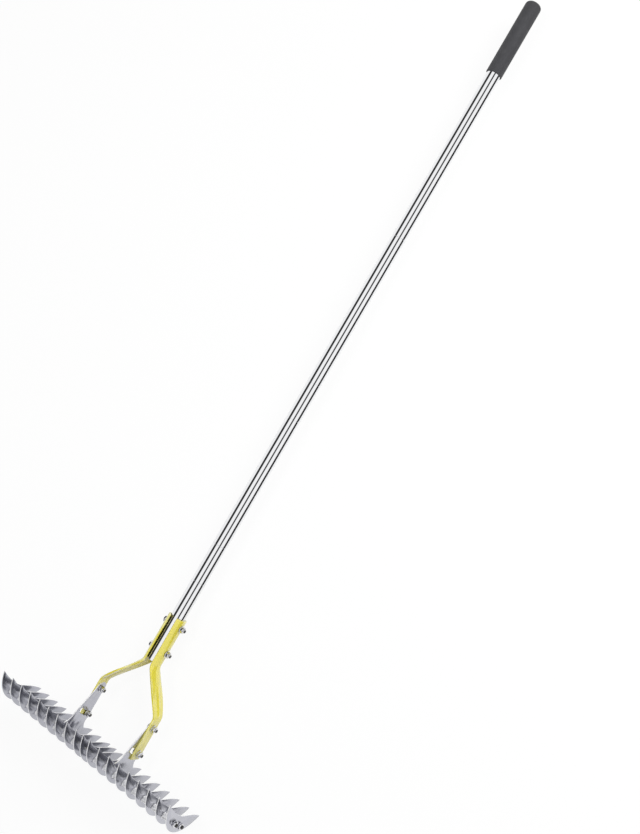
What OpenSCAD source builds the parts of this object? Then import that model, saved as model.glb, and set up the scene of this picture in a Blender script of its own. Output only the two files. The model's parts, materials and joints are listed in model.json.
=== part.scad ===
// Thatch rake: nineteen crescent tines on two tie rods, hung on a splayed two-arm bracket
// that clamps a jointed tube handle with a soft grip. The head tilts on the pivot bolts.

/* [Head] */
// Distance between neighbouring tines
tine_pitch = 21.8; // [18:0.1:30]
// Distance from the middle tine to the tine on each side of it
middle_pitch = 15.2; // [12:0.1:20]
// Plate thickness of a tine
tine_t = 1.6; // [1.4:0.1:3]
// Tine tips, measured each side of the tine's middle line
tip_half = 67; // [55:0.5:80]
// Tine tips below the pivot
tip_drop = 67; // [60:0.5:74]
// Tine's lowest edge below the pivot
belly_drop = 105; // [99:0.5:125]
// Tine's inner edge below the pivot, on its middle line
inner_drop = 77; // [74:0.5:82]
// How sharply the front prong's inner edge curves up
front_edge_power = 2.2; // [1.5:0.1:3]
// How sharply the rear prong's inner edge swells
rear_edge_power = 1.15; // [1:0.05:1.6]
// Tie rods below the pivot
rod_drop = 91; // [88:0.5:94]
// Distance between the two tie rods
rod_spacing = 25; // [20:0.5:32]
// Diameter of a tie rod
rod_d = 6; // [5:0.5:7]
// Outside diameter of a spacer tube
spacer_d = 11.5; // [9:0.5:15]
// Head tilt at rest, from the middle of its travel
head_tilt = 13; // [8:0.5:14]

/* [Tilt bracket] */
// Corner radius of a bracket plate around its pivot bolt
plate_top_r = 12; // [11:0.5:15]
// Half width of a bracket plate at the slot
plate_mid_half = 23; // [20:0.5:26]
// Where the plate starts to flare, below the pivot
plate_mid_drop = 52; // [50:0.5:56]
// Half width of the flare at the crescent
plate_flare_half = 34; // [30:0.5:38]
// Tilt slot's middle radius around the pivot
slot_drop = 46.6; // [42:0.2:48]
// Space each side of the bolt in the tilt slot
slot_clear = 1.3; // [0.8:0.1:1.6]
// Turn left over at each end of the slot, in degrees
slot_end_turn = 0.6; // [0.4:0.1:1]

/* [Arms] */
// Strip thickness of an arm
arm_t = 3; // [2:0.1:4]
// Strip width at the handle clamp
arm_clamp_w = 35.5; // [32:0.5:38]
// Strip width along the splayed run
arm_splay_w = 34; // [30:0.5:38]
// Strip width at the foot
arm_foot_w = 25; // [22:0.5:29]
// Arm's top end above the pivot
arm_top = 172; // [168:1:200]
// Space between the top of a bracket plate and the arm's lower bend
arm_bend_gap = 1; // [0.5:0.1:3]
// Bend radius of an arm
arm_bend_r = 16; // [12:0.5:20]
// Angle between the splayed run and the handle
arm_splay = 35.5; // [34:0.5:40]
// Arm's foot end below the pivot
arm_foot_drop = 58; // [55:0.5:62]
// Height of the stamped rib
rib_h = 2; // [0.5:0.1:3]
// Space between an arm and the handle tube
hug_clear = 0.3; // [0.2:0.05:0.5]

/* [Handle] */
// Outside diameter of the handle tube
tube_d = 25.4; // [22:0.1:30]
// Wall of the handle tube
tube_wall = 1.2; // [0.8:0.1:2]
// Tube's lower end above the pivot
tube_low = 90.5; // [86:0.5:96]
// Lower end of the lower coupler above the pivot
lower_coupler_low = 240; // [210:1:290]
// Lower end of the upper coupler above the pivot
upper_coupler_low = 554; // [500:1:600]
// Seen length of a coupler
coupler_len = 70; // [50:1:100]
// Seam between the upper tube and the top tube
top_seam = 912; // [800:1:1000]
// Depth of a spigot inside a tube
spigot_len = 32; // [20:1:45]
// Wall of a spigot
spigot_wall = 1.5; // [1:0.1:2.5]
// Space around a spigot
spigot_clear = 0.05; // [0.02:0.01:0.1]
// Chamfer at the ends of each tube
seam_chamfer = 0.5; // [0.2:0.1:0.8]
// Lower end of the grip above the pivot
grip_low = 1242; // [1150:1:1300]
// Length of the grip
grip_len = 144; // [100:1:200]
// Outside diameter of the grip
grip_d = 29.4; // [27:0.1:36]
// Corner radius of the grip's closed end
grip_round = 7; // [4:0.5:12]
// Corner radius of the grip's open end
grip_lip_r = 0.8; // [0.4:0.1:1.2]
// Thickness of the grip's closed end
grip_cap_t = 6; // [3:0.5:10]
// Space between the grip and the tube
grip_clear = 0.05; // [0.02:0.01:0.1]

/* [Fasteners] */
// Diameter of each bolt
bolt_d = 6; // [5:0.5:7]
// Width across the flats of each nut and bolt head
hex_flats = 10; // [9:0.5:12]
// Height of a nut
nut_h = 5; // [4:0.1:7]
// Height of a bolt head
head_h = 4; // [3:0.1:6]
// Diameter of a washer
washer_d = 12.5; // [11:0.5:16]
// Thickness of a washer
washer_t = 1.4; // [0.8:0.1:2]
// Bolt end left standing past its nut
bolt_tail = 3; // [1:0.5:6]
// Space around a bolt in its hole
bolt_clear = 0.3; // [0.2:0.05:0.5]
// Space around a thread in its nut
thread_clear = 0.05; // [0.02:0.01:0.1]
// Space around each pivot bolt
pivot_clear = 0.06; // [0.03:0.01:0.1]
// Lower clamp bolt above the pivot
clamp_bolt_low = 111; // [108:0.5:116]
// Distance between the two clamp bolts
clamp_bolt_spacing = 47.5; // [40:0.5:52]

/* [Hidden] */
round_n = 64;
tine_count = 19;
middle_tine = 10;
bracket_steps = 3;
cut_over = 1;
steel = [0.75, 0.76, 0.79];
bright = [0.85, 0.86, 0.88];
yellow = [0.86, 0.8, 0.25];
dark = [0.3, 0.3, 0.31];

tube_r = tube_d / 2;
tube_in_r = tube_r - tube_wall;
spigot_r = tube_in_r - spigot_clear;
bolt_r = bolt_d / 2;
hex_r = hex_flats / 2 / cos(30);
grip_top = grip_low + grip_len;

belly_rise = belly_drop - tip_drop;
belly_r = (tip_half * tip_half + belly_rise * belly_rise) / (2 * belly_rise);
belly_mid = belly_drop - belly_r;
belly_turn = asin(tip_half / belly_r);
slot_half = head_tilt + slot_end_turn;

function tine_x(i) = i == middle_tine ? 0
    : sign(i - middle_tine) * (middle_pitch + (abs(i - middle_tine) - 1) * tine_pitch);
bracket_x = tine_x(middle_tine + bracket_steps);
row_end = tine_x(tine_count) + tine_t / 2;
arm_in_x = bracket_x + tine_t / 2;
arm_out_x = arm_in_x + arm_t;
clamp_in_x = tube_r + hug_clear;
clamp_out_x = clamp_in_x + arm_t;

// Lowest and nearest points of the tilted head set the part's floor and near end
floor_z = tip_drop * sin(head_tilt) - tip_half * cos(head_tilt);
near_y = -(belly_mid * cos(head_tilt) + belly_r);
mid_y = (near_y + grip_top) / 2;

module placed() {
    translate([0, -mid_y, -floor_z]) children();
}

module headed() {
    placed() rotate([-head_tilt, 0, 0]) children();
}

module along_x(x0, x1, r) {
    translate([x0, 0, 0]) rotate([0, 90, 0]) cylinder(h = x1 - x0, r = r, $fn = round_n);
}

module hex_x(x0, x1) {
    translate([x0, 0, 0]) rotate([0, 90, 0]) cylinder(h = x1 - x0, r = hex_r, $fn = 6);
}

module ring_x(x0, x1, r_out, r_in) {
    difference() {
        along_x(x0, x1, r_out);
        along_x(x0 - cut_over, x1 + cut_over, r_in);
    }
}

module nut_x(x0) {
    difference() {
        hex_x(x0, x0 + nut_h);
        along_x(x0 - cut_over, x0 + nut_h + cut_over, bolt_r + thread_clear);
    }
}

module bolt_x(x_seat, x_end) {
    along_x(x_seat, x_end, bolt_r);
    hex_x(x_seat - head_h, x_seat);
}

// Tine outline, with the pivot at the origin and the handle towards +X of the sketch
outline_steps = 20;
function belly_edge() = [for (k = [-outline_steps : outline_steps])
    let (a = belly_turn * k / outline_steps) [-(belly_mid + belly_r * cos(a)), belly_r * sin(a)]];
function front_drop(s) = inner_drop - (inner_drop - tip_drop) * pow(s, front_edge_power);
function rear_drop(s) = inner_drop - (inner_drop - tip_drop) * pow(sin(90 * s), rear_edge_power);
function front_edge(from) = [for (k = [outline_steps - 1 : -1 : 0])
    let (s = from + (1 - from) * k / outline_steps) [-front_drop(s), tip_half * s]];
function rear_edge(from) = [for (k = [1 : outline_steps - 1])
    let (s = from + (1 - from) * k / outline_steps) [-rear_drop(s), -tip_half * s]];
flare_from = plate_flare_half / tip_half;
plate_lean = atan((plate_mid_half - plate_top_r) / plate_mid_drop);
flare_steps = 8;
top_steps = 12;
function plate_flare(side, end_drop) = [for (k = [0 : flare_steps])
    let (s = k / flare_steps)
    [-(plate_mid_drop + (end_drop - plate_mid_drop) * s),
        side * (plate_mid_half + (plate_flare_half - plate_mid_half) * s * s * s)]];
function plate_top() = [for (k = [top_steps : -1 : -top_steps])
    let (a = (90 + plate_lean) * k / top_steps) plate_top_r * [cos(a), sin(a)]];
function plate_front() = let (flare = plate_flare(1, front_drop(flare_from)))
    [for (k = [flare_steps - 1 : -1 : 0]) flare[k]];
function plate_rear() = plate_flare(-1, rear_drop(flare_from));
plain_outline = concat(belly_edge(), front_edge(0), rear_edge(0));
bracket_outline = concat(belly_edge(), front_edge(flare_from), plate_front(), plate_top(),
    plate_rear(), rear_edge(flare_from));

module sheet() {
    rotate([90, 0, 90]) translate([0, 0, -tine_t / 2]) linear_extrude(tine_t) children();
}

module rod_bores() {
    for (side = [-1, 1])
        translate([0, -rod_drop, side * rod_spacing / 2])
            along_x(-tine_t / 2 - cut_over, tine_t / 2 + cut_over, rod_d / 2 + bolt_clear);
}

module slot_cut() {
    slot_w = bolt_d + 2 * slot_clear;
    cut_t = tine_t + 2 * cut_over;
    rotate([90, 0, 90]) translate([0, 0, -cut_t / 2]) {
        rotate([0, 0, 180 - slot_half]) rotate_extrude(angle = 2 * slot_half, $fn = 4 * round_n)
            translate([slot_drop - slot_w / 2, 0]) square([slot_w, cut_t]);
        for (side = [-1, 1])
            rotate([0, 0, 180 + side * slot_half]) translate([slot_drop, 0, 0])
                cylinder(h = cut_t, d = slot_w, $fn = round_n);
    }
}

module tine(i) {
    bracketed = abs(i - middle_tine) == bracket_steps;
    color(steel) headed() translate([tine_x(i), 0, 0]) difference() {
        sheet() polygon(bracketed ? bracket_outline : plain_outline);
        rod_bores();
        if (bracketed) {
            along_x(-tine_t / 2 - cut_over, tine_t / 2 + cut_over, bolt_r + pivot_clear);
            slot_cut();
        }
    }
}

// Arm strip: rows of section points swept along a bent path, from the clamp to the foot
bend_in = arm_bend_r * (1 - cos(arm_splay));
bend_len = arm_bend_r * sin(arm_splay);
splay_len = (arm_in_x - clamp_in_x - 2 * bend_in) / sin(arm_splay);
foot_y = plate_top_r + arm_bend_gap;
bend_out_y = foot_y + bend_len + splay_len * cos(arm_splay);
arm_bend_start = bend_out_y + bend_len;
clamp_rows = 4;
bend_rows = 9;
splay_rows = 12;
foot_rows = 4;
section_steps = 20;
curl_share = 0.71;
narrow_from_share = 0.5;
narrow_bend_share = 0.6;
function fade(s) = cos(90 * s) * cos(90 * s);
function narrowed(s) = arm_foot_w + (arm_splay_w - arm_foot_w) * fade(s);
function splay_narrow(s) = max(0, s - narrow_from_share) / (1 - narrow_from_share) * narrow_bend_share;
// Each row: crest x, crest y, lean of the strip, curl around the tube, rib share, strip width
function clamp_row(s) = [clamp_in_x, arm_top + (arm_bend_start - arm_top) * s, 0,
    curl_share, 0, arm_clamp_w + (arm_splay_w - arm_clamp_w) * s];
function out_row(s) = let (a = arm_splay * s)
    [clamp_in_x + arm_bend_r * (1 - cos(a)), arm_bend_start - arm_bend_r * sin(a), a,
        curl_share * fade(s / 3), 0, arm_splay_w];
function splay_row(s) = [clamp_in_x + bend_in + splay_len * s * sin(arm_splay),
    bend_out_y - splay_len * s * cos(arm_splay), arm_splay, curl_share * fade((1 + 2 * s) / 3),
    1 - fade(s), narrowed(splay_narrow(s))];
function back_row(s) = let (a = arm_splay * (1 - s))
    [arm_in_x - arm_bend_r * (1 - cos(a)), foot_y + arm_bend_r * sin(a), a, 0, fade(s),
        narrowed(narrow_bend_share + (1 - narrow_bend_share) * s)];
function foot_row(s) = [arm_in_x, foot_y - (foot_y + arm_foot_drop) * s, 0, 0, 0, arm_foot_w];
rows = concat([for (k = [0 : clamp_rows]) clamp_row(k / clamp_rows)],
    [for (k = [1 : bend_rows]) out_row(k / bend_rows)],
    [for (k = [1 : splay_rows]) splay_row(k / splay_rows)],
    [for (k = [1 : bend_rows]) back_row(k / bend_rows)],
    [for (k = [1 : foot_rows]) foot_row(k / foot_rows)]);
row_n = len(rows);
rib_share = 0.42;
least_curl = 0.001;
function section_point(r, j, depth) = let (
        row = rows[r],
        s = 2 * j / section_steps - 1,
        curl = max(row[3], least_curl),
        flat = row[3] < least_curl,
        bow_r = clamp_in_x / curl,
        turn = (row[5] / 2) / (bow_r + arm_t / 2) * 180 / PI * s,
        fold = flat ? 0 : bow_r * (1 - cos(turn)),
        across = flat ? row[5] / 2 * s : bow_r * sin(turn),
        rib_s = min(1, abs(s) / rib_share),
        rib = rib_h * row[4] * fade(rib_s),
        out = rib - fold + depth * (flat ? 1 : cos(turn)),
        z = across + (flat ? 0 : depth * sin(turn)))
    [row[0] + out * cos(row[2]), row[1] + out * sin(row[2]), z];
side_n = section_steps + 1;
function strip_points() = concat(
    [for (r = [0 : row_n - 1]) for (j = [0 : section_steps]) section_point(r, j, 0)],
    [for (r = [0 : row_n - 1]) for (j = [0 : section_steps]) section_point(r, j, arm_t)]);
function inner_at(r, j) = r * side_n + j;
function outer_at(r, j) = (row_n + r) * side_n + j;
function strip_faces() = concat(
    [for (r = [0 : row_n - 2]) for (j = [0 : section_steps - 1])
        each [[inner_at(r, j), inner_at(r, j + 1), inner_at(r + 1, j + 1)],
            [inner_at(r, j), inner_at(r + 1, j + 1), inner_at(r + 1, j)]]],
    [for (r = [0 : row_n - 2]) for (j = [0 : section_steps - 1])
        each [[outer_at(r, j), outer_at(r + 1, j + 1), outer_at(r, j + 1)],
            [outer_at(r, j), outer_at(r + 1, j), outer_at(r + 1, j + 1)]]],
    [for (r = [0 : row_n - 2])
        each [[inner_at(r, 0), inner_at(r + 1, 0), outer_at(r + 1, 0)],
            [inner_at(r, 0), outer_at(r + 1, 0), outer_at(r, 0)],
            [inner_at(r, section_steps), outer_at(r + 1, section_steps), inner_at(r + 1, section_steps)],
            [inner_at(r, section_steps), outer_at(r, section_steps), outer_at(r + 1, section_steps)]]],
    [for (j = [0 : section_steps - 1])
        each [[inner_at(0, j), outer_at(0, j + 1), inner_at(0, j + 1)],
            [inner_at(0, j), outer_at(0, j), outer_at(0, j + 1)],
            [inner_at(row_n - 1, j), inner_at(row_n - 1, j + 1), outer_at(row_n - 1, j + 1)],
            [inner_at(row_n - 1, j), outer_at(row_n - 1, j + 1), outer_at(row_n - 1, j)]]]);

module arm_strip() {
    difference() {
        polyhedron(points = strip_points(), faces = strip_faces());
        for (k = [0, 1])
            translate([0, clamp_bolt_low + k * clamp_bolt_spacing, 0])
                along_x(0, clamp_out_x + cut_over, bolt_r + bolt_clear);
        for (y = [0, -slot_drop])
            translate([0, y, 0])
                along_x(arm_in_x - cut_over, arm_out_x + cut_over, bolt_r + bolt_clear);
    }
}

module right_arm() {
    color(yellow) placed() arm_strip();
}

module left_arm() {
    color(yellow) placed() mirror([1, 0, 0]) arm_strip();
}

// Handle pieces are turned about the handle's axis
module turned() {
    placed() rotate([-90, 0, 0]) rotate_extrude($fn = round_n) children();
}

module tube_sketch(low, high) {
    c = seam_chamfer;
    polygon([[tube_in_r, low], [tube_r - c, low], [tube_r, low + c],
        [tube_r, high - c], [tube_r - c, high], [tube_in_r, high]]);
}

module coupler_sketch(low) {
    c = seam_chamfer;
    high = low + coupler_len;
    bore_r = spigot_r - spigot_wall;
    polygon([[bore_r, low - spigot_len], [spigot_r, low - spigot_len], [spigot_r, low],
        [tube_r - c, low], [tube_r, low + c], [tube_r, high - c], [tube_r - c, high],
        [spigot_r, high], [spigot_r, high + spigot_len], [bore_r, high + spigot_len]]);
}

module lower_tube() {
    color(bright) difference() {
        turned() tube_sketch(tube_low, lower_coupler_low);
        placed() for (k = [0, 1])
            translate([0, clamp_bolt_low + k * clamp_bolt_spacing, 0])
                along_x(-tube_r - cut_over, tube_r + cut_over, bolt_r + bolt_clear);
    }
}

module lower_coupler() {
    color(bright) turned() coupler_sketch(lower_coupler_low);
}

module middle_tube() {
    color(bright) turned() tube_sketch(lower_coupler_low + coupler_len, upper_coupler_low);
}

module upper_coupler() {
    color(bright) turned() coupler_sketch(upper_coupler_low);
}

module upper_tube() {
    color(bright) turned() tube_sketch(upper_coupler_low + coupler_len, top_seam);
}

module seam_joiner() {
    color(steel) turned() translate([spigot_r - spigot_wall, top_seam - spigot_len])
        square([spigot_wall, 2 * spigot_len]);
}

module top_tube() {
    color(bright) turned() tube_sketch(top_seam, grip_top - grip_cap_t);
}

module grip() {
    r = grip_d / 2;
    in_r = tube_r + grip_clear;
    color(dark) turned() difference() {
        union() {
            translate([0, grip_low + grip_lip_r]) square([r, grip_len - grip_lip_r - grip_round]);
            translate([0, grip_low]) square([r - grip_lip_r, grip_len - grip_round]);
            translate([0, grip_low]) square([r - grip_round, grip_len]);
            translate([r - grip_round, grip_top - grip_round]) circle(r = grip_round, $fn = round_n);
            translate([r - grip_lip_r, grip_low + grip_lip_r]) circle(r = grip_lip_r, $fn = round_n);
        }
        translate([0, grip_low - cut_over]) square([in_r, grip_len - grip_cap_t + cut_over]);
        translate([-grip_d, grip_low - cut_over]) square([grip_d, grip_len + 2 * cut_over]);
    }
}

// Bolts run along X with their heads on the -X side
clamp_nut_x = clamp_out_x + washer_t;
right_nut_x = arm_out_x + washer_t;
left_nut_x = -bracket_x + tine_t / 2 + washer_t;

module at_clamp_bolts() {
    placed() for (k = [0, 1])
        translate([0, clamp_bolt_low + k * clamp_bolt_spacing, 0]) children();
}

module arm_bolts(y) {
    placed() translate([0, y, 0]) {
        bolt_x(bracket_x - tine_t / 2, right_nut_x + nut_h + bolt_tail);
        bolt_x(-arm_out_x, left_nut_x + nut_h + bolt_tail);
    }
}

module arm_washers(y) {
    placed() translate([0, y, 0]) for (x = [left_nut_x, right_nut_x])
        ring_x(x - washer_t, x, washer_d / 2, bolt_r + bolt_clear);
}

module arm_nuts(y) {
    placed() translate([0, y, 0]) {
        nut_x(right_nut_x);
        nut_x(left_nut_x);
    }
}

module clamp_bolts() {
    color(steel) at_clamp_bolts() bolt_x(-clamp_out_x, clamp_nut_x + nut_h + bolt_tail);
}

module clamp_washers() {
    color(steel) at_clamp_bolts()
        ring_x(clamp_out_x, clamp_nut_x, washer_d / 2, bolt_r + bolt_clear);
}

module clamp_nuts() {
    color(steel) at_clamp_bolts() nut_x(clamp_nut_x);
}

module pivot_bolts() {
    color(steel) arm_bolts(0);
}

module pivot_washers() {
    color(steel) arm_washers(0);
}

module pivot_nuts() {
    color(steel) arm_nuts(0);
}

module tilt_bolts() {
    color(steel) arm_bolts(-slot_drop);
}

module tilt_washers() {
    color(steel) arm_washers(-slot_drop);
}

module tilt_nuts() {
    color(steel) arm_nuts(-slot_drop);
}

module at_rod(side) {
    headed() translate([0, -rod_drop, side * rod_spacing / 2]) children();
}

module tie_rod(side) {
    reach = row_end + nut_h + bolt_tail;
    color(bright) at_rod(side) along_x(-reach, reach, rod_d / 2);
}

module front_rod() {
    tie_rod(1);
}

module rear_rod() {
    tie_rod(-1);
}

module spacers(side) {
    color(bright) at_rod(side) for (i = [1 : tine_count - 1])
        ring_x(tine_x(i) + tine_t / 2, tine_x(i + 1) - tine_t / 2, spacer_d / 2,
            rod_d / 2 + bolt_clear);
}

module front_spacers() {
    spacers(1);
}

module rear_spacers() {
    spacers(-1);
}

module rod_nuts() {
    color(steel) for (side = [-1, 1]) at_rod(side) for (x = [-row_end - nut_h, row_end])
        difference() {
            hex_x(x, x + nut_h);
            along_x(x - cut_over, x + nut_h + cut_over, rod_d / 2 + thread_clear);
        }
}

module tine_01() { tine(1); }
module tine_02() { tine(2); }
module tine_03() { tine(3); }
module tine_04() { tine(4); }
module tine_05() { tine(5); }
module tine_06() { tine(6); }
module tine_07() { tine(7); }
module tine_08() { tine(8); }
module tine_09() { tine(9); }
module tine_10() { tine(10); }
module tine_11() { tine(11); }
module tine_12() { tine(12); }
module tine_13() { tine(13); }
module tine_14() { tine(14); }
module tine_15() { tine(15); }
module tine_16() { tine(16); }
module tine_17() { tine(17); }
module tine_18() { tine(18); }
module tine_19() { tine(19); }

lower_tube();
lower_coupler();
middle_tube();
upper_coupler();
upper_tube();
seam_joiner();
top_tube();
grip();
left_arm();
right_arm();
clamp_bolts();
clamp_washers();
clamp_nuts();
pivot_bolts();
pivot_washers();
pivot_nuts();
tilt_bolts();
tilt_washers();
tilt_nuts();
front_rod();
rear_rod();
front_spacers();
rear_spacers();
rod_nuts();
tine_01();
tine_02();
tine_03();
tine_04();
tine_05();
tine_06();
tine_07();
tine_08();
tine_09();
tine_10();
tine_11();
tine_12();
tine_13();
tine_14();
tine_15();
tine_16();
tine_17();
tine_18();
tine_19();
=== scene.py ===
import json
import math
import bpy
from mathutils import Matrix, Vector


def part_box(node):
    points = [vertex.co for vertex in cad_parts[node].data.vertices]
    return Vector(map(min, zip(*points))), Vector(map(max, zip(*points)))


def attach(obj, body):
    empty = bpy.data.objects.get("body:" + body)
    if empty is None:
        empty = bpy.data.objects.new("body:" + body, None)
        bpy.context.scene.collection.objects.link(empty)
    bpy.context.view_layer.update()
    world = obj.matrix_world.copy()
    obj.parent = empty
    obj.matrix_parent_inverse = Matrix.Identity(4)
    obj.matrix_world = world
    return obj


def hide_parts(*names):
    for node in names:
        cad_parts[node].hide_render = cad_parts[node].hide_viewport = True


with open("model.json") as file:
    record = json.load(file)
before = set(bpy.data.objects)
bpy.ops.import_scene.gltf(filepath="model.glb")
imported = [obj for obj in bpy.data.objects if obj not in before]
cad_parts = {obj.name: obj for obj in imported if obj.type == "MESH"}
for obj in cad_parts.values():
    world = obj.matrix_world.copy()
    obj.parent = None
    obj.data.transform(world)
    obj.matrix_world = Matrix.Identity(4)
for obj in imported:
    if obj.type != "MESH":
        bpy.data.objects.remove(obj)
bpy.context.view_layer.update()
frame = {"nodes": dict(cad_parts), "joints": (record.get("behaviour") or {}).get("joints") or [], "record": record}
nodes = frame["nodes"]
pivot = Vector(frame["joints"][0]["pos_m"])  # the head turns here
print("frame loaded:", len(nodes), "nodes")

mm = 0.001
mergeGap = 0.000004  # corners nearer than this, in metres, are one corner
noiseRoughness = 0.55
white = (1, 1, 1, 1)


class Wire:  # a shader socket that can be used in sums
    def __init__(self, sheet, socket):
        self.sheet = sheet
        self.socket = socket

    def beside(self, name):  # another output of the same node
        return Wire(self.sheet, self.socket.node.outputs[name])

    def work(self, operation, first, second):
        return self.sheet.add("ShaderNodeMath", {"operation": operation}, {0: first, 1: second})

    def __add__(self, other):
        return self.work("ADD", self, other)

    def __radd__(self, other):
        return self.work("ADD", other, self)

    def __sub__(self, other):
        return self.work("SUBTRACT", self, other)

    def __rsub__(self, other):
        return self.work("SUBTRACT", other, self)

    def __mul__(self, other):
        return self.work("MULTIPLY", self, other)

    def __rmul__(self, other):
        return self.work("MULTIPLY", other, self)

    def __truediv__(self, other):
        return self.work("DIVIDE", self, other)

    def __rtruediv__(self, other):
        return self.work("DIVIDE", other, self)


class Sheet:  # one node tree, filled node by node
    def __init__(self, owner):
        owner.use_nodes = True
        self.tree = owner.node_tree
        self.tree.nodes.clear()

    def add(self, kind, settings=None, inputs=None, out=0):
        node = self.tree.nodes.new(kind)
        for name, value in (settings or {}).items():
            if name == "stops":
                ramp = node.color_ramp
                while len(ramp.elements) < len(value):
                    ramp.elements.new(0.5)
                for element, (place, colour) in zip(ramp.elements, value):
                    element.position = place
                    element.color = colour
            else:
                setattr(node, name, value)
        for name, value in (inputs or {}).items():
            if isinstance(value, Wire):
                self.tree.links.new(value.socket, node.inputs[name])
            else:
                node.inputs[name].default_value = value
        return Wire(self, node.outputs[out]) if node.outputs else None

    def spots(self, scale, detail, squeeze=(1, 1, 1)):  # noise on the piece itself
        place = self.add("ShaderNodeTexCoord", out="Object")
        place = self.add("ShaderNodeMapping", inputs={"Vector": place, "Scale": squeeze})
        return self.add("ShaderNodeTexNoise", inputs={
            "Vector": place, "Scale": scale, "Detail": detail, "Roughness": noiseRoughness})

    def ramp(self, value, low, high, dark=(0, 0, 0, 1), light=white):
        stops = [(low, dark), (high, light)]
        return self.add("ShaderNodeValToRGB", {"stops": stops}, {"Fac": value})

    def step(self, value, low, high):  # 0 below low, 1 above high
        return self.add("ShaderNodeMapRange", {"interpolation_type": "SMOOTHSTEP"},
                        {"Value": value, "From Min": low, "From Max": high})

    def mix(self, factor, first, second):  # sockets 6 and 7 and output 2 are the colour ones
        sockets = {0: factor, 6: first, 7: second}
        return self.add("ShaderNodeMix", {"data_type": "RGBA"}, sockets, out=2)

    def bump(self, height, strength, depth):
        sockets = {"Height": height, "Strength": strength, "Distance": depth}
        return self.add("ShaderNodeBump", inputs=sockets)

    def finish(self, inputs):
        shader = self.add("ShaderNodeBsdfPrincipled", inputs=inputs)
        self.add("ShaderNodeOutputMaterial", inputs={"Surface": shader})


def newFinish(name):
    material = bpy.data.materials.new(name)
    return material, Sheet(material)


def tineFaceFinish():
    look = {
        "base": (0.545, 0.55, 0.605, 1), "cloud": (0.505, 0.51, 0.565, 1), "blend": (0.35, 0.7),
        "clouds": {"scale": 26.0, "detail": 4.0},
        "rolling": {"scale": 900.0, "detail": 3.0, "squeeze": (1, 1, 0.06)},  # lines from the mill
        "rough": 0.15, "cloudRough": 0.06, "lineRough": 0.05,
        "relief": {"strength": 0.05, "depth": 0.04 * mm},
    }
    material, sheet = newFinish("tineZinc")
    cloud = sheet.spots(**look["clouds"])
    rolled = sheet.spots(**look["rolling"])
    colour = sheet.mix(sheet.ramp(cloud, *look["blend"]), look["base"], look["cloud"])
    rough = look["rough"] + look["cloudRough"] * cloud + look["lineRough"] * rolled
    sheet.finish({"Base Color": colour, "Metallic": 1.0, "Roughness": rough,
                  "Normal": sheet.bump(rolled, **look["relief"])})
    return material


def tineEdgeFinish():
    look = {
        "base": (0.97, 0.97, 0.98, 1), "worn": (0.85, 0.85, 0.87, 1), "blend": (0.5, 0.75),
        "nicks": {"scale": 300.0, "detail": 3.0},
        "shearing": {"scale": 1500.0, "detail": 2.0, "squeeze": (1, 0.2, 0.2)},  # lines from the shear
        "metal": 0.6, "rough": 0.3, "lineRough": 0.15,
        "relief": {"strength": 0.2, "depth": 0.1 * mm},
    }
    material, sheet = newFinish("tineCutEdge")
    nicks = sheet.spots(**look["nicks"])
    lines = sheet.spots(**look["shearing"])
    colour = sheet.mix(sheet.ramp(nicks, *look["blend"]), look["base"], look["worn"])
    rough = look["rough"] + look["lineRough"] * lines
    sheet.finish({"Base Color": colour, "Metallic": look["metal"], "Roughness": rough,
                  "Normal": sheet.bump(lines, **look["relief"])})
    return material


def tineBackFinish():  # the blank's back side: rougher, and painted dark as shade for the gaps between tines
    look = {
        "base": (0.26, 0.263, 0.287, 1), "cloud": (0.22, 0.223, 0.247, 1), "blend": (0.35, 0.7),
        "clouds": {"scale": 40.0, "detail": 5.0},
        "grain": {"scale": 1200.0, "detail": 3.0},
        "rough": 0.3, "cloudRough": 0.15,
        "relief": {"strength": 0.08, "depth": 0.05 * mm},
    }
    material, sheet = newFinish("tineDullBack")
    cloud = sheet.spots(**look["clouds"])
    grain = sheet.spots(**look["grain"])
    colour = sheet.mix(sheet.ramp(cloud, *look["blend"]), look["base"], look["cloud"])
    rough = look["rough"] + look["cloudRough"] * cloud
    sheet.finish({"Base Color": colour, "Metallic": 1.0, "Roughness": rough,
                  "Normal": sheet.bump(grain, **look["relief"])})
    return material


def tubeFinish():
    look = {
        "base": (0.9, 0.905, 0.92, 1), "haze": (0.84, 0.845, 0.86, 1),
        "hazing": {"scale": 30.0, "detail": 4.0, "squeeze": (1, 0.15, 1)},
        "drawing": {"scale": 900.0, "detail": 2.0, "squeeze": (1, 0.01, 1)},  # lines along the tube
        "rough": 0.03, "hazeRough": 0.03, "lineRough": 0.02,
        "relief": {"strength": 0.02, "depth": 0.02 * mm},
    }
    material, sheet = newFinish("polishedTube")
    haze = sheet.spots(**look["hazing"])
    drawn = sheet.spots(**look["drawing"])
    colour = sheet.mix(haze, look["base"], look["haze"])
    rough = look["rough"] + look["hazeRough"] * haze + look["lineRough"] * drawn
    sheet.finish({"Base Color": colour, "Metallic": 1.0, "Roughness": rough,
                  "Normal": sheet.bump(drawn, **look["relief"])})
    return material


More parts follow.
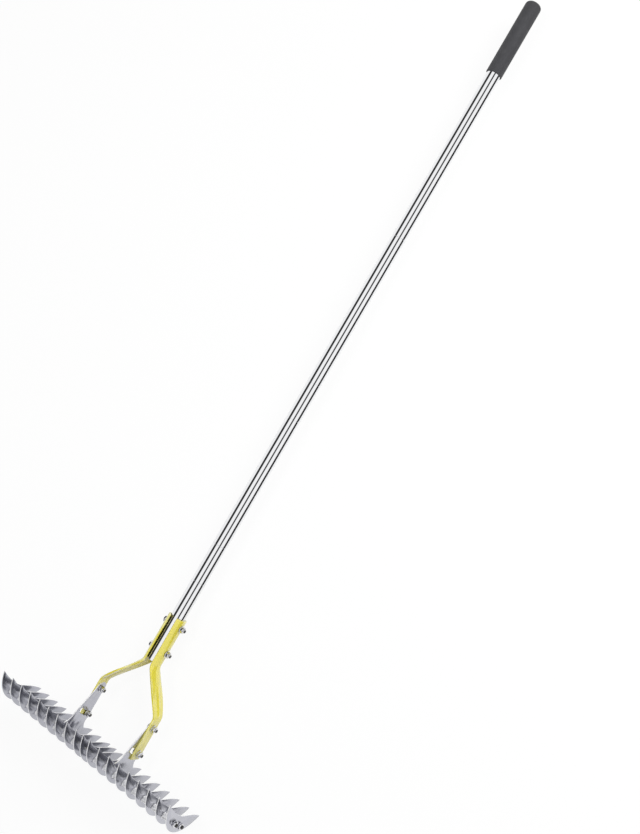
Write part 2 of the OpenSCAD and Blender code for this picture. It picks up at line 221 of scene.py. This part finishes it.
def yellowFinish():
    look = {
        "base": (0.74, 0.655, 0.05, 1), "shade": (0.695, 0.605, 0.04, 1), "blend": (0.35, 0.7),
        "worn": (0.8, 0.745, 0.25, 1), "wornBlend": (0.52, 0.62),
        # the dark gap colour and its blend paint shade into the narrow gaps
        "grime": (0.1, 0.09, 0.02, 1), "grimeBlend": (0.1, 0.75), "gapReach": 7 * mm, "gapSamples": 8,
        "drift": {"scale": 24.0, "detail": 3.0},
        "peel": {"scale": 700.0, "detail": 2.0},
        "rough": 0.35, "driftRough": 0.12,
        "coat": 0.8, "driftCoat": 0.2, "coatRough": 0.1, "coatIndex": 2.0,
        "relief": {"strength": 0.06, "depth": 0.1 * mm},
    }
    material, sheet = newFinish("yellowCoat")
    drift = sheet.spots(**look["drift"])
    peel = sheet.spots(**look["peel"])
    colour = sheet.mix(sheet.ramp(drift, *look["blend"]), look["base"], look["shade"])
    corner = sheet.add("ShaderNodeNewGeometry", out="Pointiness")
    thin = sheet.ramp(corner, *look["wornBlend"])  # thin paint on the corners
    colour = sheet.mix(thin, colour, look["worn"])
    gap = sheet.add("ShaderNodeAmbientOcclusion", {"samples": look["gapSamples"]},
                    {"Distance": look["gapReach"]}, out="AO")
    unshaded = sheet.step(gap, *look["grimeBlend"])  # painted shade in the narrow gaps between arm and tube and around the washers
    colour = sheet.mix(unshaded, look["grime"], colour)
    sheet.finish({"Base Color": colour, "Roughness": look["rough"] + look["driftRough"] * drift,
                  "Coat Weight": look["coat"] + look["driftCoat"] * drift,
                  "Coat Roughness": look["coatRough"], "Coat IOR": look["coatIndex"],
                  "Normal": sheet.bump(peel, **look["relief"])})
    return material


def gripFinish():
    look = {
        "base": (0.044, 0.044, 0.048, 1), "dust": (0.062, 0.062, 0.066, 1), "blend": (0.5, 0.85),
        "scuffs": {"scale": 60.0, "detail": 5.0},
        "grain": {"scale": 1600.0, "detail": 2.0},
        "rough": 0.55, "scuffRough": 0.2,
        "relief": {"strength": 0.2, "depth": 0.1 * mm},
    }
    material, sheet = newFinish("gripRubber")
    scuff = sheet.spots(**look["scuffs"])
    grain = sheet.spots(**look["grain"])
    colour = sheet.mix(sheet.ramp(scuff, *look["blend"]), look["base"], look["dust"])
    sheet.finish({"Base Color": colour, "Roughness": look["rough"] + look["scuffRough"] * scuff,
                  "Normal": sheet.bump(grain, **look["relief"])})
    return material


def boltFinish():
    look = {
        "base": (0.8, 0.8, 0.82, 1), "dull": (0.66, 0.66, 0.68, 1), "blend": (0.4, 0.75),
        "clouds": {"scale": 260.0, "detail": 4.0},
        "rough": 0.1, "cloudRough": 0.1,
        "relief": {"strength": 0.05, "depth": 0.1 * mm},
    }
    material, sheet = newFinish("zincBolt")
    cloud = sheet.spots(**look["clouds"])
    colour = sheet.mix(sheet.ramp(cloud, *look["blend"]), look["base"], look["dull"])
    rough = look["rough"] + look["cloudRough"] * cloud
    sheet.finish({"Base Color": colour, "Metallic": 1.0, "Roughness": rough,
                  "Normal": sheet.bump(cloud, **look["relief"])})
    return material


# bolt and rod ends painted black as shade
def boltEndFinish():
    look = {
        "base": (0.02, 0.02, 0.022, 1), "oil": (0.05, 0.048, 0.045, 1),
        "film": {"scale": 500.0, "detail": 3.0},
        "saw": {"scale": 2500.0, "detail": 2.0, "squeeze": (1, 0.1, 1)},
        "rough": 0.4, "filmRough": 0.25,
        "relief": {"strength": 0.2, "depth": 0.1 * mm},
    }
    material, sheet = newFinish("blackBoltEnd")
    film = sheet.spots(**look["film"])
    sawMarks = sheet.spots(**look["saw"])
    colour = sheet.mix(film, look["base"], look["oil"])
    sheet.finish({"Base Color": colour, "Roughness": look["rough"] + look["filmRough"] * film,
                  "Normal": sheet.bump(sawMarks, **look["relief"])})
    return material


def spacerFinish():
    look = {
        "base": (0.97, 0.97, 0.98, 1), "dull": (0.9, 0.9, 0.92, 1),
        "clouds": {"scale": 120.0, "detail": 4.0},
        "turning": {"scale": 2200.0, "detail": 2.0, "squeeze": (1, 0.05, 0.05)},  # lines from the lathe
        "metal": 0.55, "rough": 0.26, "cloudRough": 0.1,
        "relief": {"strength": 0.06, "depth": 0.05 * mm},
    }
    material, sheet = newFinish("brightSpacer")
    cloud = sheet.spots(**look["clouds"])
    turnedLines = sheet.spots(**look["turning"])
    colour = sheet.mix(cloud, look["base"], look["dull"])
    rough = look["rough"] + look["cloudRough"] * cloud
    sheet.finish({"Base Color": colour, "Metallic": look["metal"], "Roughness": rough,
                  "Normal": sheet.bump(turnedLines, **look["relief"])})
    return material


finishes = {
    "tineFace": tineFaceFinish(), "tineEdge": tineEdgeFinish(), "tineBack": tineBackFinish(),
    "tube": tubeFinish(), "yellow": yellowFinish(), "grip": gripFinish(),
    "bolt": boltFinish(), "boltEnd": boltEndFinish(), "spacer": spacerFinish(),
}
print("finishes made:", len(finishes))


def selectOnly(piece):
    bpy.ops.object.select_all(action="DESELECT")
    piece.select_set(True)
    bpy.context.view_layer.objects.active = piece


def copyOfNode(name, pieceName):  # a merged copy of a CAD solid, ready for finishing
    piece = nodes[name].copy()
    piece.data = nodes[name].data.copy()
    piece.parent = None
    piece.name = pieceName
    piece.data.name = pieceName
    for key in list(piece.keys()):
        del piece[key]
    bpy.context.scene.collection.objects.link(piece)
    selectOnly(piece)
    bpy.ops.mesh.customdata_custom_splitnormals_clear()
    bpy.ops.object.mode_set(mode="EDIT")
    bpy.ops.mesh.select_all(action="SELECT")
    bpy.ops.mesh.remove_doubles(threshold=mergeGap)
    bpy.ops.object.mode_set(mode="OBJECT")
    return piece


def dissolveFlats(piece, angle):
    selectOnly(piece)
    bpy.ops.object.mode_set(mode="EDIT")
    bpy.ops.mesh.select_all(action="SELECT")
    bpy.ops.mesh.dissolve_limited(angle_limit=math.radians(angle))
    bpy.ops.object.mode_set(mode="OBJECT")


def roundEdges(piece, shape):
    selectOnly(piece)
    bevel = piece.modifiers.new("roundEdges", "BEVEL")
    bevel.width = shape["edgeWidth"] * mm
    bevel.segments = shape["edgeSteps"]
    bevel.limit_method = "ANGLE"
    bevel.angle_limit = math.radians(shape["edgeAngle"])
    bevel.use_clamp_overlap = True
    bpy.ops.object.modifier_apply(modifier=bevel.name)


def smooth(piece, angle):
    selectOnly(piece)
    bpy.ops.object.shade_smooth_by_angle(angle=math.radians(angle))


def setFinish(piece, *names):
    piece.data.materials.clear()
    for name in names:
        piece.data.materials.append(finishes[name])


def place(piece, body, slot, replaced):
    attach(piece, body)
    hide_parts(replaced)


def looseBoxes(name):  # the box of each solid in a node, from -X to +X
    copyOfNode(name, "spareCopy")
    bpy.ops.object.mode_set(mode="EDIT")
    bpy.ops.mesh.select_all(action="SELECT")
    bpy.ops.mesh.separate(type="LOOSE")
    bpy.ops.object.mode_set(mode="OBJECT")
    boxes = []
    for part in bpy.context.selected_objects:
        points = [vertex.co for vertex in part.data.vertices]
        low = Vector([min(point[axis] for point in points) for axis in range(3)])
        high = Vector([max(point[axis] for point in points) for axis in range(3)])
        boxes.append((low, high))
    bpy.ops.object.delete()
    return sorted(boxes, key=lambda box: (round(box[0].x, 5), round(box[0].z, 5), box[0].y))


def turned(name, rings, sides, solid=True):  # made ring after ring about X, (x, radius) in mm
    bpy.ops.object.select_all(action="DESELECT")
    x, radius = rings[0]
    bpy.ops.mesh.primitive_circle_add(vertices=sides, radius=radius * mm, location=(x * mm, 0, 0),
                                      rotation=(0, math.pi / 2, 0))
    piece = bpy.context.object
    piece.name = name
    bpy.ops.object.transform_apply(location=True, rotation=True, scale=True)
    bpy.ops.object.mode_set(mode="EDIT")
    bpy.ops.mesh.select_all(action="SELECT")
    for nextX, nextRadius in rings[1:]:
        grow = nextRadius / radius
        bpy.ops.mesh.extrude_region_move(TRANSFORM_OT_translate={"value": ((nextX - x) * mm, 0, 0)})
        bpy.ops.transform.resize(value=(1, grow, grow), center_override=(nextX * mm, 0, 0))
        x, radius = nextX, nextRadius
    bpy.ops.mesh.select_all(action="SELECT")
    bpy.ops.mesh.remove_doubles(threshold=mergeGap)
    if solid:
        bpy.ops.mesh.fill_holes(sides=0)
    bpy.ops.mesh.select_all(action="SELECT")
    bpy.ops.mesh.normals_make_consistent(inside=False)
    bpy.ops.object.mode_set(mode="OBJECT")
    return piece


def cut(piece, tool, how):
    selectOnly(piece)
    trim = piece.modifiers.new(how.lower(), "BOOLEAN")
    trim.operation = how
    trim.object = tool
    trim.solver = "EXACT"
    bpy.ops.object.modifier_apply(modifier=trim.name)
    bpy.data.objects.remove(tool)


def joined(pieces, name):
    bpy.ops.object.select_all(action="DESELECT")
    for piece in pieces:
        piece.select_set(True)
    bpy.context.view_layer.objects.active = pieces[0]
    bpy.ops.object.join()
    pieces[0].name = name
    pieces[0].data.name = name
    return pieces[0]


def setAt(master, spot, spin):  # a copy with its own mesh, turned about X and moved to its seat
    piece = master.copy()
    piece.data = master.data.copy()
    bpy.context.scene.collection.objects.link(piece)
    selectOnly(piece)
    piece.rotation_euler = (math.radians(spin), 0, 0)
    piece.location = spot
    bpy.ops.object.transform_apply(location=True, rotation=True, scale=True)
    return piece


def darkEnd(piece, farEnd):  # a bolt's or rod's end gets the second finish, painted black as shade
    for face in piece.data.polygons:
        if abs(face.center.x) > farEnd:
            face.material_index = 1


# Tines: sheet blanks with bright sheared edges, widths in mm and angles in degrees
tineShape = {"flatAngle": 0.5, "edgeWidth": 0.25, "edgeSteps": 2, "edgeAngle": 50, "smoothAngle": 35,
             "faceNormal": 0.9}
tineFinishes = ["tineFace", "tineEdge", "tineBack"]


def tineFinishOf(face):
    if face.normal.x > tineShape["faceNormal"]:
        return "tineFace"
    if face.normal.x < -tineShape["faceNormal"]:
        return "tineBack"
    return "tineEdge"


def makeTine(name):
    piece = copyOfNode(name, name.replace("tine_", "crescent"))
    dissolveFlats(piece, tineShape["flatAngle"])
    roundEdges(piece, tineShape)
    setFinish(piece, *tineFinishes)
    for face in piece.data.polygons:
        face.material_index = tineFinishes.index(tineFinishOf(face))
    smooth(piece, tineShape["smoothAngle"])
    place(piece, "head", "zinc_plate", name)


tineNames = sorted(name for name in nodes if name.startswith("tine_"))
for name in tineNames:
    makeTine(name)
print("tines made:", len(tineNames))

# Arms: pressed yellow strips
armShape = {"flatAngle": 0.2, "edgeWidth": 0.6, "edgeSteps": 3, "edgeAngle": 55, "smoothAngle": 40}


def makeArm(name):
    piece = copyOfNode(name, name.replace("_a", "A"))
    dissolveFlats(piece, armShape["flatAngle"])
    roundEdges(piece, armShape)
    setFinish(piece, "yellow")
    smooth(piece, armShape["smoothAngle"])
    place(piece, "handle", "yellow_paint", name)


makeArm("left_arm")
makeArm("right_arm")
print("arms made")

# Handle: polished tube lengths, couplers and grip
tubeNames = ["lower_tube", "lower_coupler", "middle_tube", "upper_coupler", "upper_tube", "top_tube"]
handleShape = {"tubeSmoothAngle": 30, "gripSmoothAngle": 40}


def makeTube(name):
    piece = copyOfNode(name, "bright" + name.title().replace("_", ""))
    setFinish(piece, "tube")
    smooth(piece, handleShape["tubeSmoothAngle"])
    place(piece, "handle", "polished_tube", name)


def makeGrip():
    piece = copyOfNode("grip", "gripSleeve")
    setFinish(piece, "grip")
    smooth(piece, handleShape["gripSmoothAngle"])
    place(piece, "handle", "grip_rubber", "grip")


for name in tubeNames:
    makeTube(name)
setFinish(nodes["seam_joiner"], "bolt")
makeGrip()
print("handle made")

# Fasteners and spacers: modelled once for each size and set at every seat, lengths and radii in mm
hexShape = {
    "sides": 6, "flats": 10.0,
    "rise": 0.6, "face": 4.7,  # depth and inner radius of the turned-off corners
    "edgeWidth": 0.12, "edgeSteps": 2, "edgeAngle": 25, "smoothAngle": 25,
}
cutShape = {"sides": 64, "spare": 0.2, "overrun": 0.05, "reach": 1.0}  # tools go a little past the block


def hexBlock(name, height, bothSides):  # corners turned off where the faces are free
    corner = hexShape["flats"] / 2 / math.cos(math.pi / hexShape["sides"])
    block = turned(name, [(0, corner), (height, corner)], hexShape["sides"])
    wide, over = corner + cutShape["spare"], cutShape["overrun"]
    near = [(-over, hexShape["face"]), (hexShape["rise"], wide)]
    far = [(height - hexShape["rise"], wide), (height + over, hexShape["face"])]
    if not bothSides:
        far = [(height + cutShape["reach"], wide)]
    cut(block, turned("cornerTool", near + far, cutShape["sides"]), "INTERSECT")
    return block


nutShape = {"bore": 3.02, "mouth": 0.5, "sides": 40}


def makeNut(height):
    nut = hexBlock("nutMaster", height, True)
    bore, mouth, over = nutShape["bore"], nutShape["mouth"], cutShape["overrun"]
    rings = [(-over, bore + mouth), (mouth, bore), (height - mouth, bore), (height + over, bore + mouth)]
    cut(nut, turned("boreTool", rings, nutShape["sides"]), "DIFFERENCE")
    roundEdges(nut, hexShape)
    setFinish(nut, "bolt")
    smooth(nut, hexShape["smoothAngle"])
    return nut


def sleeveRings(half, length):  # one end's rings, the same mirrored, and back to the first
    return half + [(length - x, radius) for x, radius in reversed(half)] + half[:1]


washerShape = {
    "bore": 3.3,
    "rim": 0.3, "bend": 0.3,  # size of the rounded rim, and where its middle lies
    "sides": 56, "smoothAngle": 35,
}


def makeWasher(thickness, radius):
    bore, rim = washerShape["bore"], washerShape["rim"]
    bend = rim * washerShape["bend"]
    half = [(0, bore), (0, radius - rim), (bend, radius - bend), (rim, radius)]
    washer = turned("washerMaster", sleeveRings(half, thickness), washerShape["sides"], solid=False)
    setFinish(washer, "bolt")
    smooth(washer, washerShape["smoothAngle"])
    return washer


boltShape = {"shank": 3.0, "root": 2.5, "pitch": 1.0, "threadLength": 11.0, "headHeight": 4.0, "tip": 0.6,
             "overlap": 0.5, "sides": 40, "smoothAngle": 25}
threadGroove = [(0.45, "root"), (0.55, "root"), (0.92, "shank"), (1.0, "shank")]  # shares of the pitch


def threadedEnd(length):  # ring grooves stand for the thread
    shank, pitch, tip = boltShape["shank"], boltShape["pitch"], boltShape["tip"]
    x = length - boltShape["threadLength"]
    rings = [(x, shank)]
    while x + pitch <= length - tip:
        rings += [(x + share * pitch, boltShape[level]) for share, level in threadGroove]
        x += pitch
    return rings + [(length - tip, shank), (length, shank - tip)]


def makeBolt(length):
    head = hexBlock("boltMaster", boltShape["headHeight"], False)
    roundEdges(head, hexShape)
    rings = [(boltShape["headHeight"] - boltShape["overlap"], boltShape["shank"])] + threadedEnd(length)
    bolt = joined([head, turned("shankMaster", rings, boltShape["sides"])], "boltMaster")
    setFinish(bolt, "bolt", "boltEnd")
    darkEnd(bolt, (length - boltShape["tip"]) * mm)
    smooth(bolt, boltShape["smoothAngle"])
    return bolt


rodShape = {"tail": 3.0}  # the length painted black as shade


def makeRod(half):
    rightEnd = threadedEnd(half)
    rings = [(-x, radius) for x, radius in reversed(rightEnd)] + rightEnd
    rod = turned("rodMaster", rings, boltShape["sides"])
    setFinish(rod, "spacer", "boltEnd")
    darkEnd(rod, (half - rodShape["tail"]) * mm)
    smooth(rod, boltShape["smoothAngle"])
    return rod


spacerShape = {"bore": 3.3, "body": 4.9, "collar": 5.7, "collarWidth": 1.2, "lip": 0.3, "sides": 40,
               "smoothAngle": 30}


def makeSpacer(length):  # a sleeve with a rolled collar at each end
    lip, wide = spacerShape["lip"], spacerShape["collarWidth"]
    body, collar = spacerShape["body"], spacerShape["collar"]
    half = [(0, spacerShape["bore"]), (0, collar - lip), (lip, collar), (wide - lip, collar),
            (wide, collar - lip), (wide + lip, body + lip), (wide + 2 * lip, body)]
    spacer = turned("spacerMaster", sleeveRings(half, length), spacerShape["sides"], solid=False)
    setFinish(spacer, "spacer")
    smooth(spacer, spacerShape["smoothAngle"])
    return spacer


spins = [4, 37, 19, 52, 11, 28, 45, 8, 33, 16]  # degrees: the nuts of a group stop at different turns


def fillSeats(node, pieceName, slotName, make):  # a detailed piece at each solid of the node
    masters, made = {}, []
    for low, high in looseBoxes(node):
        size = (round((high.x - low.x) / mm, 2), round((high.z - low.z) / mm / 2, 2))  # length, radius
        if size not in masters:
            masters[size] = make(*size)
        seat = (low.x, (low.y + high.y) / 2, (low.z + high.z) / 2)
        made.append(setAt(masters[size], seat, spins[len(made) % len(spins)]))
    for master in masters.values():
        bpy.data.objects.remove(master)
    body = "head" if node in frame["record"]["behaviour"]["bodies"]["head"] else "handle"
    place(joined(made, pieceName), body, slotName, node)
    return len(made)


def setRod(side):
    low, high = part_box(side + "_rod")
    master = makeRod((high[0] - low[0]) / mm / 2)
    rod = setAt(master, [(low[axis] + high[axis]) / 2 for axis in range(3)], 0)
    bpy.data.objects.remove(master)
    rod.name = side + "TieRod"
    rod.data.name = rod.name
    place(rod, "head", "zinc_fastener", side + "_rod")


makers = {
    "bolts": lambda length, radius: makeBolt(length),
    "washers": makeWasher,
    "nuts": lambda length, radius: makeNut(length),
    "spacers": lambda length, radius: makeSpacer(length),
}
seatCount = 0
for group in ("clamp", "pivot", "tilt"):
    for kind in ("bolts", "washers", "nuts"):
        pieceName = group + kind.title()
        seatCount += fillSeats(group + "_" + kind, pieceName, "zinc_fastener", makers[kind])
seatCount += fillSeats("rod_nuts", "rodNuts", "zinc_fastener", makers["nuts"])
for side in ("front", "rear"):
    seatCount += fillSeats(side + "_spacers", side + "Spacers", "bright_spacer", makers["spacers"])
    setRod(side)
print("fasteners and spacers set:", seatCount)

# Floor, light and camera, in metres
stageShape = {
    "floorSize": 14.0,
    "floorTones": ((0.88, 0.88, 0.88, 1), (0.92, 0.92, 0.92, 1)),
    "floorBlend": (0.2, 0.8),
    "floorClouds": {"scale": 1.5, "detail": 2.0},
    "shadowShare": 0.1,  # how much of the shadow the camera sees
    "mirrorShadowShare": 0.5,  # how much of it shows in reflections
    "roomLight": 0.42,
    "cardTone": (0.03, 0.03, 0.03, 1),  # the dark cards are seen only in reflections
    "flags": [(45, 66), (110, 146)],  # cards in the air, degrees up from +X about the handle
    "flagSoft": 3,
    "floorCard": {"near": 0.08, "far": 1.4, "end": -0.56},  # a card on the floor beside the handle
    "floorCardSoft": {"near": 0.008, "far": 0.1, "end": 0.03},
}


def floorCard(sheet):  # 1 on the dark card, 0 beside it
    card, soft = stageShape["floorCard"], stageShape["floorCardSoft"]
    spot = sheet.add("ShaderNodeTexCoord", out="Object")
    x = sheet.add("ShaderNodeSeparateXYZ", inputs={0: spot}, out="X")
    near = sheet.step(x, card["near"] - soft["near"], card["near"] + soft["near"])
    far = sheet.step(x, card["far"], card["far"] + soft["far"])
    end = sheet.step(x.beside("Y"), card["end"] - soft["end"], card["end"] + soft["end"])
    return near * (1 - far) * end


def makeFloor():
    bpy.ops.object.select_all(action="DESELECT")
    bpy.ops.mesh.primitive_plane_add(size=stageShape["floorSize"], location=(0, 0, 0))
    floor = bpy.context.object
    floor.name = "paleFloor"
    material, sheet = newFinish("paleFloor")
    cloud = sheet.spots(**stageShape["floorClouds"])
    tone = sheet.ramp(cloud, *stageShape["floorBlend"], *stageShape["floorTones"])
    plain = sheet.add("ShaderNodeBsdfDiffuse", inputs={"Color": tone})
    seen = sheet.add("ShaderNodeLightPath", out="Is Camera Ray")
    glossy = seen.beside("Is Glossy Ray")
    through = seen.beside("Is Transmission Ray")
    card = floorCard(sheet)
    tint = sheet.mix(glossy * card, white, stageShape["cardTone"])
    glow = sheet.add("ShaderNodeEmission", inputs={"Color": tint, "Strength": 1.0})
    share = (seen + through) * (1 - stageShape["shadowShare"])
    share = share + glossy * (1 - stageShape["mirrorShadowShare"] * (1 - card))
    mixed = sheet.add("ShaderNodeMixShader", inputs={0: share, 1: plain, 2: glow})
    sheet.add("ShaderNodeOutputMaterial", inputs={"Surface": mixed})
    floor.data.materials.append(material)


def flagStops():  # where the room turns dark and pale again, in shares of a turn from -X
    dark, soft = stageShape["cardTone"], stageShape["flagSoft"]
    stops = [(0, white)]
    for low, high in stageShape["flags"]:
        edges = [(low - soft, white), (low + soft, dark), (high - soft, dark), (high + soft, white)]
        stops += [(angle / 360 + 0.5, tone) for angle, tone in edges]
    return stops + [(1, white)]


def makeWorld():
    world = bpy.data.worlds.new("studio")
    bpy.context.scene.world = world
    sheet = Sheet(world)
    way = sheet.add("ShaderNodeTexCoord", out="Generated")
    x = sheet.add("ShaderNodeSeparateXYZ", inputs={0: way}, out="X")
    turn = x.work("ARCTAN2", x.beside("Z"), x) / (2 * math.pi) + 0.5
    cards = sheet.add("ShaderNodeValToRGB", {"stops": flagStops()}, {"Fac": turn})
    room = sheet.add("ShaderNodeBackground", inputs={"Color": white, "Strength": stageShape["roomLight"]})
    mirror = sheet.add("ShaderNodeBackground", inputs={"Color": cards, "Strength": 1.0})
    plain = sheet.add("ShaderNodeBackground", inputs={"Color": white, "Strength": 1.0})
    seen = sheet.add("ShaderNodeLightPath", out="Is Camera Ray")
    glossy = seen.beside("Is Glossy Ray")
    mixed = sheet.add("ShaderNodeMixShader", inputs={0: glossy, 1: room, 2: mirror})
    mixed = sheet.add("ShaderNodeMixShader", inputs={0: seen, 1: mixed, 2: plain})
    sheet.add("ShaderNodeOutputWorld", inputs={"Surface": mixed})


lampTable = [  # name, place, size, watts
    ("keySoftbox", (1.4, 1.3, 1.7), 1.2, 45.0),
    ("topSoftbox", (0.0, -0.3, 2.4), 0.9, 15.0),
    ("fillSoftbox", (-1.8, 0.3, 1.8), 1.6, 5.0),
]


def makeLamps():
    for name, spot, size, watts in lampTable:
        lamp = bpy.data.lights.new(name, "AREA")
        lamp.size = size
        lamp.energy = watts
        holder = bpy.data.objects.new(name, lamp)
        holder.location = spot
        aim = Vector((0, 0, 0)) - Vector(spot)
        holder.rotation_euler = aim.to_track_quat("-Z", "Y").to_euler()
        holder.visible_glossy = False  # metal shows the pale room and its cards
        bpy.context.scene.collection.objects.link(holder)


# Camera fitted to the tine tips, bolts and handle axis, measured from the pivot
photoView = {
    "spot": (799.4 * mm, 493.8 * mm, 1591.2 * mm),
    "right": (0.7913, 0.5016, -0.3497),
    "down": (0.4351, -0.8637, -0.2544),
    "focalPixels": 1053.4,
    "heightPixels": 834,
    "film": 36.0,
    "farLimit": 100.0,
}


def makeCamera():
    data = bpy.data.cameras.new("photoCamera")
    data.sensor_width = photoView["film"]
    data.lens = photoView["focalPixels"] / photoView["heightPixels"] * photoView["film"]
    data.clip_end = photoView["farLimit"]
    camera = bpy.data.objects.new("photoCamera", data)
    right = Vector(photoView["right"]).normalized()
    up = -Vector(photoView["down"]).normalized()
    back = right.cross(up).normalized()
    turn = Matrix((right, back.cross(right), back)).transposed().to_4x4()
    camera.matrix_world = Matrix.Translation(pivot + Vector(photoView["spot"])) @ turn
    bpy.context.scene.collection.objects.link(camera)
    bpy.context.scene.camera = camera


makeFloor()
makeWorld()
makeLamps()
makeCamera()
bpy.context.scene.view_settings.view_transform = "Standard"
print("stage made")
